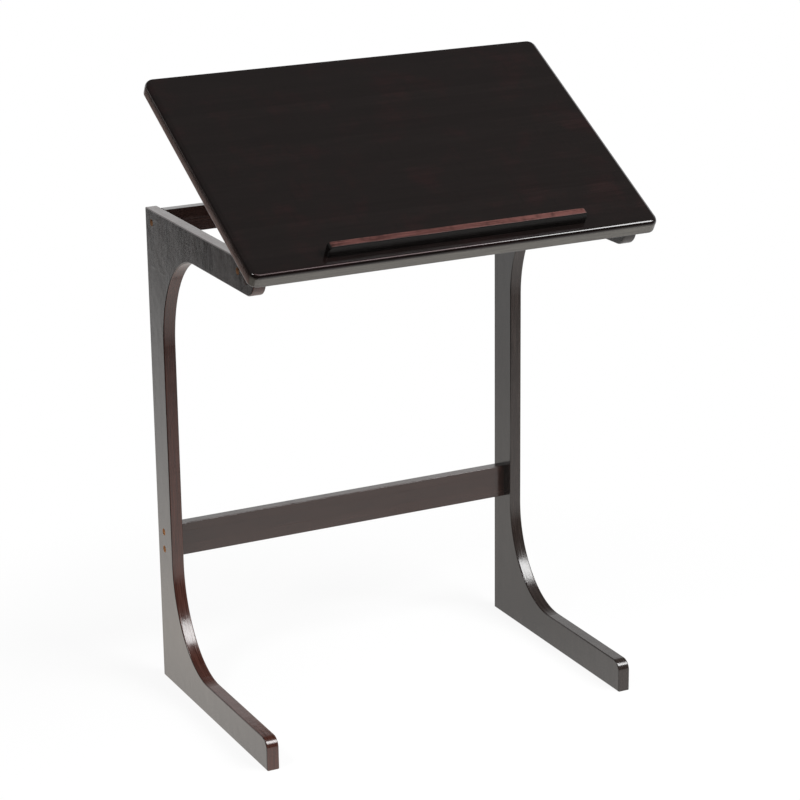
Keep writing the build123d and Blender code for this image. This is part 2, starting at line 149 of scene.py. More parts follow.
class TableMetalSettings(bpy.types.PropertyGroup):
    """Finishes and threads of the hardware."""

    zinc: colour("Zinc", "Bright zinc plate", (0.42, 0.42, 0.41))
    black_steel: colour("Black Steel", "Black coat on steel", (0.012, 0.012, 0.012))
    nylon: colour("Nylon", "Black moulded nylon", (0.02, 0.02, 0.02))
    zinc_roughness: share("Zinc Roughness", "Roughness of the zinc plate", 0.3)
    coat_roughness: share("Coat Roughness", "Roughness of the black coat", 0.5)
    coat_grain: length("Coat Grain", "Size of the bumps in the black coat", 0.0006)
    frame_pitch: length("Frame Screw Pitch", "Pitch of the frame screws", 0.0030)
    rack_pitch: length("Rack Screw Pitch", "Pitch of the rack screws", 0.0024)
    wood_pitch: length("Wood Screw Pitch", "Pitch of the small wood screws", 0.0018)
    bolt_pitch: length("Bolt Pitch", "Pitch of the pivot bolts", 0.0010)
    plain_share: share("Plain Shank", "Share of a screw that has no thread", 0.3)
    cross_width: length("Cross Width", "Width of the slots in a small screw's head", 0.0009)
    columns: IntProperty(name="Columns", description="Faces round a screw", default=36, min=12)
    rings_per_turn: IntProperty(name="Rings", description="Rings in a turn of thread", default=6, min=4)


class TableStudioSettings(bpy.types.PropertyGroup):
    """Floor, lamps and camera."""

    floor_size: length("Floor Size", "Half the width of the floor", 14.0)
    floor_colour: colour("Floor Colour", "Pale floor", (0.86, 0.86, 0.86))
    shadow_share: share("Shadow", "How much of the table's shadow the floor keeps", 0.10)
    shadow_reach: length("Shadow Reach", "How far from the table the shadow fades out", 0.9)
    pool_glow: amount("Floor Glow", "Brightness of the lit floor in the varnish", 1.36)
    pool_spread: share("Floor Glow Spread", "Share of that brightness away from the table", 0.43)
    pool_warmth: colour("Floor Warmth", "Tint of the floor near the table", (1.0, 0.93, 0.86))
    key_radiance: amount("Key Light", "Brightness of the key light", 14.5)
    key_width: length("Key Width", "Width of the key light", 1.5)
    key_height: length("Key Height", "Height of the key light", 1.15)
    side_radiance: amount("Side Light", "Brightness of the small side light", 34.0)
    side_size: length("Side Size", "Width and height of the small side light", 0.45)
    wall_glow: amount("Back Wall", "Brightness of the back wall in the varnish", 1.1)
    room_glow: amount("Room", "Brightness of the dim room in the varnish", 0.04)
    ceiling_glow: amount("Ceiling", "How much brighter the ceiling is", 0.09)
    fill: amount("Fill Light", "Brightness of the soft light from all sides", 0.33)
    lens: amount("Lens", "Focal length in millimetres", 119.18)


def add(tree, kind, *values, **settings):
    """Adds a node, sets or links its inputs in order, and returns its first output."""
    node = tree.nodes.new(kind)
    for name, value in settings.items():
        setattr(node, name, value)
    for socket, value in zip(node.inputs, values):
        if isinstance(value, bpy.types.NodeSocket):
            tree.links.new(value, socket)
        elif value is not None:
            socket.default_value = value
    return node.outputs[0] if node.outputs else None


def add_sockets(tree, way, names, kind):
    """Adds sockets of one kind to a tree's interface, as its INPUT or its OUTPUT."""
    for name in names:
        socket = tree.interface.new_socket(name, in_out=way, socket_type=f"NodeSocket{kind}")
        if kind == "Float" and way == "INPUT":
            socket.subtype = "DISTANCE"


def maths(operation):
    """A function that adds Math nodes of one kind."""
    return lambda tree, *values: add(tree, "ShaderNodeMath", *values, operation=operation)


plus, minus, product, over = map(maths, ("ADD", "SUBTRACT", "MULTIPLY", "DIVIDE"))
smaller, larger, smooth_smaller = map(maths, ("MINIMUM", "MAXIMUM", "SMOOTH_MIN"))
is_less, is_more, scale_add = map(maths, ("LESS_THAN", "GREATER_THAN", "MULTIPLY_ADD"))
whole, fraction, pingpong = map(maths, ("FLOOR", "FRACT", "PINGPONG"))
sine, cosine, arccosine = map(maths, ("SINE", "COSINE", "ARCCOSINE"))
magnitude, exponent = map(maths, ("ABSOLUTE", "EXPONENT"))


def times(tree, first, *others):
    """Multiplies values."""
    for other in others:
        first = product(tree, first, other)
    return first


def rest_of(tree, mask):
    """What a mask leaves out."""
    return minus(tree, 1.0, mask)


def apart(tree, first, second):
    """How far two values are apart."""
    return magnitude(tree, minus(tree, first, second))


def distance(tree, vector, point):
    """How far a vector is from a point."""
    result = add(tree, "ShaderNodeVectorMath", vector, point, operation="DISTANCE")
    return result.node.outputs["Value"]


def ramp(tree, value, low, high):
    """Maps a value smoothly from 0 at low to 1 at high."""
    return add(tree, "ShaderNodeMapRange", value, low, high, 0.0, 1.0, interpolation_type="SMOOTHSTEP")


def blend(tree, factor, first, second):
    """Mixes two numbers."""
    return add(tree, "ShaderNodeMix", factor, None, first, second)


def blend_colours(tree, factor, *tints):
    """Mixes two colours, which go to the node's seventh and eighth input."""
    tints = [tint if isinstance(tint, bpy.types.NodeSocket) else (*tint, 1) for tint in tints]
    result = add(tree, "ShaderNodeMix", factor, *[None] * 5, *tints, data_type="RGBA")
    return result.node.outputs[2]


def scaled(tint, factor):
    """A colour made lighter or darker."""
    return tuple(min(channel * factor, 1) for channel in tint)


def split(tree, vector):
    """The three parts of a vector."""
    return add(tree, "ShaderNodeSeparateXYZ", vector).node.outputs


def join(tree, x, y, z):
    """A vector from three parts."""
    return add(tree, "ShaderNodeCombineXYZ", x, y, z)


def new_material(name, **values):
    """A material whose Principled shader has these values on its own sockets."""
    material = bpy.data.materials.new(name)
    material.use_nodes = True
    shader = material.node_tree.nodes["Principled BSDF"]
    for socket, value in values.items():
        shader.inputs[socket].default_value = value
    return material, material.node_tree, shader


def fleck(tree, shader, noise, tint, dark, light, rough, spread):
    """Lets a noise vary a tint from dark to light and the roughness by a spread."""
    shades = scaled(tint, dark), scaled(tint, light)
    tree.links.new(blend_colours(tree, noise, *shades), shader.inputs["Base Color"])
    rough = scale_add(tree, noise, spread, rough - spread / 2)
    tree.links.new(rough, shader.inputs["Roughness"])


def paint(material, *names):
    """Gives CAD nodes this material."""
    for name in names:
        mesh = NODES[name].data
        mesh.materials.clear()
        mesh.materials.append(material)


# How near two points are the same one, and how near two heights are level
SAME_POINT = 1e-6
SAME_LEVEL = 1e-5


def solids_of(name):
    """The points of each separate solid in a CAD node, in the same order each run."""
    merged = bmesh.new()
    merged.from_mesh(NODES[name].data)
    bmesh.ops.remove_doubles(merged, verts=merged.verts, dist=SAME_POINT)
    left = dict.fromkeys(merged.verts)
    groups = []
    while left:
        group = []
        stack = [left.popitem()[0]]
        while stack:
            vertex = stack.pop()
            group.append(tuple(vertex.co))
            for edge in vertex.link_edges:
                other = edge.other_vert(vertex)
                if other in left:
                    del left[other]
                    stack.append(other)
        groups.append(np.array(group))
    merged.free()
    return groups


# Detail of the noises, from the softest to the finest, and how harsh the streaks are
SOFT = 2.0
FINE = 3.0
FINEST = 4.0
STREAK_HARSHNESS = 0.6


def streaks(tree, vector, width, stretch, detail):
    """Noise drawn out along the vector's first axis."""
    widths = width * stretch, width, width
    parts = [over(tree, part, size) for part, size in zip(split(tree, vector), widths)]
    place = join(tree, *parts)
    return add(tree, "ShaderNodeTexNoise", place, None, 1.0, detail, STREAK_HARSHNESS)


def weigh(tree, parts, weights):
    """The sum of the parts, each times its weight."""
    total = 0.0
    for name, weight in weights.items():
        total = scale_add(tree, parts[name], weight, total)
    return total


# What each part of the grain adds to its tone and to its relief
TONE_WEIGHTS = {"fibre": 0.55, "band": 0.3, "strip": 0.15, "knuckle": -0.12, "seam": -0.08}
RELIEF_WEIGHTS = {"fibre": 1.0, "knuckle": 0.5, "seam": -0.4}

# Bands in a strip and in a fibre's length, and knuckle spacings by which strips are staggered at most
BANDS_PER_STRIP = 3
BANDS_PER_FIBRE = 6
MOST_STAGGER = 7.0

# The middle of a strip, and where a seam begins and ends from there
MIDDLE = 0.5
SEAM_SPAN = (0.485, 0.5)


def build_grain(wood):
    """Node group of laminated bamboo: its tone and its relief, by grain coordinates."""
    tree = bpy.data.node_groups.new("bamboo_grain", "ShaderNodeTree")
    add_sockets(tree, "INPUT", ["Grain"], "Vector")
    add_sockets(tree, "OUTPUT", ["Tone", "Relief"], "Float")
    grain = tree.nodes.new("NodeGroupInput").outputs["Grain"]
    parts = split(tree, grain)
    strip = over(tree, parts["Y"], wood.strip_width)
    ply = over(tree, parts["Z"], wood.strip_thickness)
    cell = join(tree, whole(tree, strip), whole(tree, ply), 0.0)
    shade = add(tree, "ShaderNodeTexWhiteNoise", cell, noise_dimensions="2D")
    stagger = over(tree, parts["X"], wood.knuckle_spacing)
    stagger = fraction(tree, plus(tree, stagger, times(tree, shade, MOST_STAGGER)))
    from_knuckle = apart(tree, stagger, MIDDLE)
    knuckle_share = wood.knuckle_width / wood.knuckle_spacing
    in_strip = apart(tree, fraction(tree, strip), MIDDLE)
    band_width, band_stretch = wood.strip_width / BANDS_PER_STRIP, wood.fibre_stretch / BANDS_PER_FIBRE
    layers = {
        "fibre": streaks(tree, grain, wood.fibre_width, wood.fibre_stretch, FINE),
        "band": streaks(tree, grain, band_width, band_stretch, SOFT),
        "strip": shade,
        "knuckle": rest_of(tree, ramp(tree, from_knuckle, 0.0, knuckle_share)),
        "seam": ramp(tree, in_strip, *SEAM_SPAN),
    }
    results = [weigh(tree, layers, weights) for weights in (TONE_WEIGHTS, RELIEF_WEIGHTS)]
    add(tree, "NodeGroupOutput", *results)


# Spans of a mask, from where it is 0 to where it is 1, by the value of a noise
STAIN_SPAN = (0.25, 0.75)
SHEEN_SPAN = (0.3, 0.75)
CLOUD_SPAN = (0.46, 0.76)

# Harshness of the cloudy patches, how much they cover, and how rough bare wood is
CLOUD_HARSHNESS = 0.62
CLOUD_SHARE = 0.6
BARE_ROUGHNESS = 0.75

# Where the crisp arris lies on the tabletop's rounding, how much flatter the rounding is before it
# and how much steeper past it
ARRIS_AT = math.radians(38)
ARRIS_FLATTENING = 0.7
ARRIS_STEP = math.radians(4.5)


class Bamboo:
    """A stained and varnished bamboo material that is put together step by step."""

    def __init__(self, name, grain, turn=(0, 0, 0), rough=0.0):
        """grain names the turned axes that run along the fibres, across them and through the plies."""
        self.wood = bpy.context.scene.table_wood
        self.material, self.tree, self.shader = new_material(name, IOR=self.wood.varnish_index)
        self.extra_rough = rough
        self.source = self.tree.nodes.new("ShaderNodeTexCoord").outputs
        self.turn = turn
        place = add(self.tree, "ShaderNodeMapping", self.source["Object"], None, turn)
        self.place = split(self.tree, place)
        group = self.tree.nodes.new("ShaderNodeGroup")
        group.node_tree = bpy.data.node_groups["bamboo_grain"]
        ordered = join(self.tree, *(self.place[axis] for axis in grain))
        self.tree.links.new(ordered, group.inputs["Grain"])
        self.tone = group.outputs["Tone"]
        self.relief = group.outputs["Relief"]
        self.body = self.rough = self.profile = None

    def facing(self, axis):
        """How far the surface looks along a turned axis."""
        given = self.source["Normal"], None, self.turn
        normal = add(self.tree, "ShaderNodeMapping", *given, vector_type="NORMAL")
        return split(self.tree, normal)[axis]

    def stain(self, tint, contrast, tone=None):
        """A stain that follows the grain, lighter and darker by the contrast."""
        tone = ramp(self.tree, tone or self.tone, *STAIN_SPAN)
        return blend_colours(self.tree, tone, scaled(tint, 1 - contrast), scaled(tint, 1 + contrast))

    def base(self, tint, contrast=0.4):
        """The stain all over."""
        self.body = self.stain(tint, contrast)
        self.rough = self.sheen(self.tone)

    def sheen(self, tone):
        """Roughness that follows the grain."""
        grain = ramp(self.tree, tone, *SHEEN_SPAN)
        least = self.wood.gloss + self.extra_rough
        return scale_add(self.tree, grain, self.wood.gloss_spread, least)

    def edges(self, mask, tint, through, contrast=0.45, rough=0.0):
        """Another stain where the mask is 1, in streaks along the piece's outline."""
        order = [axis for axis in "XYZ" if axis != through]
        outline = plus(self.tree, self.place[order[0]], self.place[order[1]])
        across = minus(self.tree, self.place[order[0]], self.place[order[1]])
        across = over(self.tree, across, self.wood.fibre_stretch)
        vector = join(self.tree, outline, self.place[through], across)
        lines = streaks(self.tree, vector, self.wood.fibre_width, self.wood.fibre_stretch, FINE)
        self.body = blend_colours(self.tree, mask, self.body, self.stain(tint, contrast, lines))
        self.relief = blend(self.tree, mask, self.relief, lines)
        sheen = plus(self.tree, self.sheen(lines), rough)
        self.rough = blend(self.tree, mask, self.rough, sheen)

    def crisp_arris(self, top, radius, softness):
        """Shades the rounding below the top as a crisp arris: flatter before it, steeper after it."""
        tree = self.tree
        depth = minus(tree, top, self.place["Z"])
        level = larger(tree, rest_of(tree, over(tree, depth, radius)), 0.0)
        bend = arccosine(tree, level)
        flattened = radius * ARRIS_FLATTENING / 2
        before = times(tree, bend, bend, flattened)
        start = ARRIS_AT * ARRIS_AT * flattened
        past = minus(tree, bend, ARRIS_AT)
        slope = scale_add(tree, past, ARRIS_STEP / (math.pi - 2 * ARRIS_AT), -ARRIS_STEP)
        after = plus(tree, times(tree, past, slope, radius), start)
        self.profile = smooth_smaller(tree, before, after, softness)

    def patches(self, size, tint):
        """Faint cloudy patches of another tint."""
        given = self.source["Object"], None, 1 / size, FINEST, CLOUD_HARSHNESS
        cloud = add(self.tree, "ShaderNodeTexNoise", *given)
        part = times(self.tree, ramp(self.tree, cloud, *CLOUD_SPAN), CLOUD_SHARE)
        self.body = blend_colours(self.tree, part, self.body, self.stain(tint, contrast=0.5))

    def bare(self, mask, tint):
        """Bare wood where the mask is 1."""
        self.body = blend_colours(self.tree, mask, self.body, self.stain(tint, contrast=0.35))
        self.rough = larger(self.tree, self.rough, times(self.tree, mask, BARE_ROUGHNESS))

    def finish(self, relief=1.0):
        """Links the colour, gloss and relief to the shader."""
        self.tree.links.new(self.body, self.shader.inputs["Base Color"])
        self.tree.links.new(self.rough, self.shader.inputs["Roughness"])
        given = self.source["Object"], None, 1 / self.wood.wave_size, SOFT
        wave = add(self.tree, "ShaderNodeTexNoise", *given)
        height = times(self.tree, self.relief, self.wood.grain_relief * relief)
        height = scale_add(self.tree, wave, self.wood.wave_relief * relief, height)
        if self.profile:
            height = plus(self.tree, height, self.profile)
        bump = add(self.tree, "ShaderNodeBump", 1.0, 1.0, None, height)
        self.tree.links.new(bump, self.shader.inputs["Normal"])
        return self.material


def towards(bamboo, axis, low, high):
    """A mask that grows as the surface turns towards an axis, either way."""
    return ramp(bamboo.tree, magnitude(bamboo.tree, bamboo.facing(axis)), low, high)


def away_from(bamboo, axis, low, high):
    """A mask that grows as the surface turns away from an axis."""
    return rest_of(bamboo.tree, towards(bamboo, axis, low, high))


# How much wider than a screw's head the bare wood round it is
HOLE_MARGIN = 1.06


def screw_holes(bamboo):
    """A mask of a side panel's counterbores. Both panels have them where the right one's screws are."""
    tree = bamboo.tree
    where = split(tree, bamboo.source["Object"])
    in_panel = join(tree, 0.0, where["Y"], where["Z"])
    mask = None
    for points in solids_of("frame_screws"):
        low, high = points.min(0), points.max(0)
        if low[0] < 0:
            continue
        centre = (0, (low[1] + high[1]) / 2, (low[2] + high[2]) / 2)
        radius = (high[2] - low[2]) / 2 * HOLE_MARGIN
        inside = is_less(tree, distance(tree, in_panel, centre), radius)
        mask = larger(tree, mask, inside) if mask else inside
    return mask


# Span in which a panel's edge gets its own stain, by how far it looks away from the side
PANEL_EDGE_SPAN = (0.35, 0.95)

# Heights between which the screw holes get a painted shade, and how dark that painted shade makes the
# upper ones
HOLES_PAINTED_SHADE_SPAN = (0.3, 0.6)
UPPER_HOLES_PAINTED_SHADE = 0.4


class TABLE_OT_varnish_frame(bpy.types.Operator):
    """Stain and varnish the side panels, the rails and the dowels between them"""

    bl_idname = "table.varnish_frame"
    bl_label = "Varnish Frame"

    def execute(self, context):
        wood = context.scene.table_wood
        build_grain(wood)
        for side, tint in (("left", wood.left_edge_stain), ("right", wood.right_edge_stain)):
            panel = Bamboo(f"bamboo_{side}_panel", "ZYX")
            panel.base(wood.face_stain, contrast=0.6)
            panel.edges(away_from(panel, "X", *PANEL_EDGE_SPAN), tint, "X", rough=0.06)
            holes = screw_holes(panel)
            panel.bare(holes, wood.bare_bamboo)
            # The upper screw holes get darker bare wood: a painted shade standing in for the shade in
            # those recesses
            upper = times(panel.tree, holes, ramp(panel.tree, panel.place["Z"], *HOLES_PAINTED_SHADE_SPAN))
            panel.bare(upper, scaled(wood.bare_bamboo, UPPER_HOLES_PAINTED_SHADE))
            paint(panel.finish(), f"{side}_side_panel")
        rail = Bamboo("bamboo_rail", "XZY")
        rail.base(wood.rail_stain, contrast=0.3)
        paint(rail.finish(), "rear_top_rail", "front_top_rail", "lower_stretcher")
        dowel, tree, shader = new_material("turned_dowel")
        source = tree.nodes.new("ShaderNodeTexCoord").outputs["Object"]
        lines = streaks(tree, source, wood.fibre_width, wood.fibre_stretch, FINE)
        fleck(tree, shader, lines, wood.dowel_wood, dark=0.7, light=1.3, rough=0.65, spread=0.2)
        paint(dowel, "rail_dowels")
        return {"FINISHED"}


# Spans of the tabletop's masks, by how far its surface looks up, sideways or forward
FRONT_RIM_SPAN = (0.0, 0.35)
SIDE_RIM_SPAN = (0.3, 0.97)
SIDES_SPAN = (0.14, 0.53)
SIDE_ARRIS_SPAN = (0.1, 0.5)
FORWARD_SPAN = (-0.3, -0.55)
ARRIS_LINE_SPAN = (0.08, 0.0)
FLAT_SPAN = (0.85, 0.98)

# Spans of its masks by place: below its upper face, and along it from its middle
SIDE_STAIN_DEPTHS = (0.003, 0.020)
LEFT_CORNER_SPAN = (-0.284, -0.291)
RUBBED_ARRIS_HIGHLIGHT_SPAN = (0.15, -0.05)

# How fast the arris gets softer to the right, for each metre, and where that stands at the middle
ARRIS_SOFTENING = (2.0, 0.5)
WORN_ROUGHNESS = 0.5

# Spans of the book stop's masks: up, round its upper edge, and along it from its middle
STOP_TOP_SPAN = (0.75, 0.97)
STOP_EDGE_AT = 0.7
STOP_EDGE_SPAN = (0.3, 0.1)
STOP_LIGHTER_RIGHT_SPAN = (-0.15, 0.2)

# How much the lighter right end of the book stop covers, and how much lighter it is
STOP_LIGHTER_RIGHT_SHARE = 0.5
STOP_LIGHTER_RIGHT_SHADE = 1.7


class TABLE_OT_varnish_top(bpy.types.Operator):
    """Stain and varnish the tabletop and its book stop"""

    bl_idname = "table.varnish_top"
    bl_label = "Varnish Top"

    def execute(self, context):
        self.varnish_board(context.scene.table_wood)
        self.varnish_stop(context.scene.table_wood)
        return {"FINISHED"}

    def varnish_board(self, wood):
        """The tabletop: dark above, greyer in front, browner at the sides, with its crisp arris."""
        board = Bamboo("bamboo_tabletop", "XYZ", LEVEL_BOARD)
        tree, place = board.tree, board.place
        board.base(wood.top_stain, contrast=0.15)
        board.patches(size=0.06, tint=wood.top_blush)
        top = max(corner.co.dot(BOARD_UP) for corner in NODES["tabletop"].data.vertices)
        beside = away_from(board, "Y", *SIDES_SPAN)
        front = times(tree, away_from(board, "Z", *FRONT_RIM_SPAN), rest_of(tree, beside))
        # The front and back get a light grey that is partly stain and partly a painted reflection of
        # the pale floor
        board.edges(front, wood.top_edge_stain_and_reflection, "Z", contrast=0.25)
        low = ramp(tree, place["Z"], *(top - depth for depth in SIDE_STAIN_DEPTHS))
        side = times(tree, away_from(board, "Z", *SIDE_RIM_SPAN), beside, low)
        board.edges(side, wood.top_side_stain, "Z", contrast=0.25)

        # The arris is softer to the right, round the left corners and along the sides
        to_right = larger(tree, scale_add(tree, place["X"], *ARRIS_SOFTENING), 0.0)
        softer = (
            (times(tree, to_right, to_right), wood.arris_width),
            (ramp(tree, place["X"], *LEFT_CORNER_SPAN), wood.corner_arris),
            (times(tree, towards(board, "X", *SIDE_ARRIS_SPAN), beside), wood.side_arris),
        )
        softness = wood.arris_least
        for mask, width in softer:
            softness = scale_add(tree, mask, width, softness)
        board.crisp_arris(top, wood.top_rounding, softness)

        # Its front arris is rubbed rougher at the left half and carries a painted dim pinkish highlight
        # line there, and the grain's relief stays on the flat top
        on_arris = ramp(tree, apart(tree, board.facing("Z"), math.cos(ARRIS_AT)), *ARRIS_LINE_SPAN)
        forward = ramp(tree, board.facing("Y"), *FORWARD_SPAN)
        lightened = times(tree, on_arris, forward, ramp(tree, place["X"], *RUBBED_ARRIS_HIGHLIGHT_SPAN))
        board.body = blend_colours(tree, lightened, board.body, wood.rubbed_arris_highlight)
        board.rough = scale_add(tree, lightened, WORN_ROUGHNESS, board.rough)
        board.relief = times(tree, board.relief, ramp(tree, board.facing("Z"), *FLAT_SPAN))
        paint(board.finish(wood.top_relief), "tabletop")

    def varnish_stop(self, wood):
        """The book stop: thinly stained above and lighter to the right, dark on its sides."""
        stop = Bamboo("bamboo_book_stop", "XZY", LEVEL_BOARD, rough=0.1)
        tree = stop.tree
        stop.shader.inputs["IOR"].default_value = wood.stop_index
        stop.base(wood.stop_face_stain, contrast=0.3)
        upper = ramp(tree, stop.facing("Z"), *STOP_TOP_SPAN)
        stop.edges(upper, wood.stop_stain, "Y", contrast=0.75)
        lightened = times(tree, ramp(tree, stop.place["X"], *STOP_LIGHTER_RIGHT_SPAN), upper, STOP_LIGHTER_RIGHT_SHARE)
        lighter_tint = stop.stain(scaled(wood.stop_stain, STOP_LIGHTER_RIGHT_SHADE), contrast=0.6)
        stop.body = blend_colours(tree, lightened, stop.body, lighter_tint)
        stop.patches(size=0.012, tint=wood.stop_face_stain)
        on_edge = ramp(tree, apart(tree, stop.facing("Z"), STOP_EDGE_AT), *STOP_EDGE_SPAN)
        stop.rough = scale_add(tree, on_edge, WORN_ROUGHNESS, stop.rough)
        paint(stop.finish(), "book_stop")


class TABLE_OT_varnish_prop(bpy.types.Operator):
    """Stain and varnish the prop, its hinge blocks and its notched racks"""

    bl_idname = "table.varnish_prop"
    bl_label = "Varnish Prop"

    def execute(self, context):
        wood = context.scene.table_wood
        low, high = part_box("left_prop_leg")
        lean = math.atan2(high.z - low.z, high.y - low.y)
        pieces = (
            ("bamboo_rack", "YZX", (0, 0, 0), ("left_prop_rack", "right_prop_rack")),
            ("bamboo_hinge_block", "YZX", LEVEL_BOARD, ("left_hinge_block", "right_hinge_block")),
            ("bamboo_prop_leg", "YZX", (lean, 0, 0), ("left_prop_leg", "right_prop_leg")),
            ("bamboo_crossbar", "XYZ", (0, 0, 0), ("prop_crossbar",)),
        )
        for name, grain, turn, nodes in pieces:
            piece = Bamboo(name, grain, turn, rough=0.05)
            piece.base(wood.prop_stain)
            paint(piece.finish(), *nodes)
        return {"FINISHED"}


# Share of a screw's greatest radius from where a point is on the rim of its head
RIM_SHARE = 0.98


def measure_screws(name):
    """Where the screws of a CAD node sit and which way they look, with their common sizes."""
    seats = []
    for points in solids_of(name):
        ways = Vector((1, 0, 0)), Vector((0, 1, 0)), BOARD_UP
        axis = max(ways, key=lambda way: np.ptp(points @ way))
        along = points @ axis
        centre = (points.min(0) + points.max(0)) / 2
        if axis == BOARD_UP:
            ends = along.min(), along.max()
            centre = sum(points[np.abs(along - end) < SAME_LEVEL].mean(0) for end in ends) / 2
        arms = points - centre
        away = np.linalg.norm(arms - np.outer(arms @ axis, axis), axis=1)
        head_side = along[away > RIM_SHARE * away.max()].mean()
        if head_side < (along.min() + along.max()) / 2:
            axis = -axis
            along = -along
        tip, seat, *_, floor, top = sorted(set(np.round(along, 5)))
        at_top = away[np.abs(along - top) < SAME_LEVEL]
        sizes = {
            "Head Radius": away.max(),
            "Head Height": top - seat,
            "Shank Radius": away[np.abs(along - tip) < SAME_LEVEL].max(),
            "Shank Length": seat - tip,
            "Drive Radius": at_top.min(),
            "Drive Depth": top - floor,
        }
        middle = Vector(centre)
        seats.append((middle + axis * (seat - middle.dot(axis)), axis))
    return seats, sizes


def index_of(tree, columns, rings):
    """A sheet to be rolled up, and each point's ring and column on it."""
    sheet = add(tree, "GeometryNodeMeshGrid", None, None, plus(tree, columns, 1.0), rings)
    index = tree.nodes.new("GeometryNodeInputIndex").outputs[0]
    column = whole(tree, over(tree, plus(tree, index, 0.5), rings))
    ring = minus(tree, index, times(tree, column, rings))
    return sheet, ring, column


def pick(tree, ring, last, inner, outer):
    """One value up to a ring and another after it."""
    return scale_add(tree, is_more(tree, ring, last + 0.5), minus(tree, outer, inner), inner)


# Numbers that the screw tree is given: measured on the CAD node, and chosen
MEASURED = ("Head Radius", "Head Height", "Shank Radius", "Shank Length", "Drive Radius", "Drive Depth")
CHOSEN = ("Head Flatness", "Cross Width", "Pitch", "Plain Length")

# Rings from the recess's middle to its mouth, over the dome, and down to the head's lower edge
RECESS_RINGS = 4
DOME_RINGS = 5
HEAD_RINGS = RECESS_RINGS + DOME_RINGS + 1

# Half of a hexagon's side and of the angle between two slots, and least sine in a slot
HALF_SIDE = math.radians(30)
HALF_CROSS = math.radians(45)
LEAST_SINE = 0.01

# Shares of the head: its dome's inner radius and the bevel at the recess's mouth
DOME_START_SHARE = 0.62
MOUTH_SHARE = 0.06

# Shares of the shank's radius: the thread's depth and the tip's length; how steep the thread is
THREAD_DEPTH_SHARE = 0.22
TIP_SHARE = 1.3
THREAD_STEEPNESS = 3.0

# How near points are merged, and from which angle on an edge is sharp
WELD = 2e-6
CREASE_ANGLE = math.radians(35)

# How flat the heads are: 0 is a half ball and 1 a disc
SCREW_FLATNESS = 0.4
BOLT_FLATNESS = 0.94


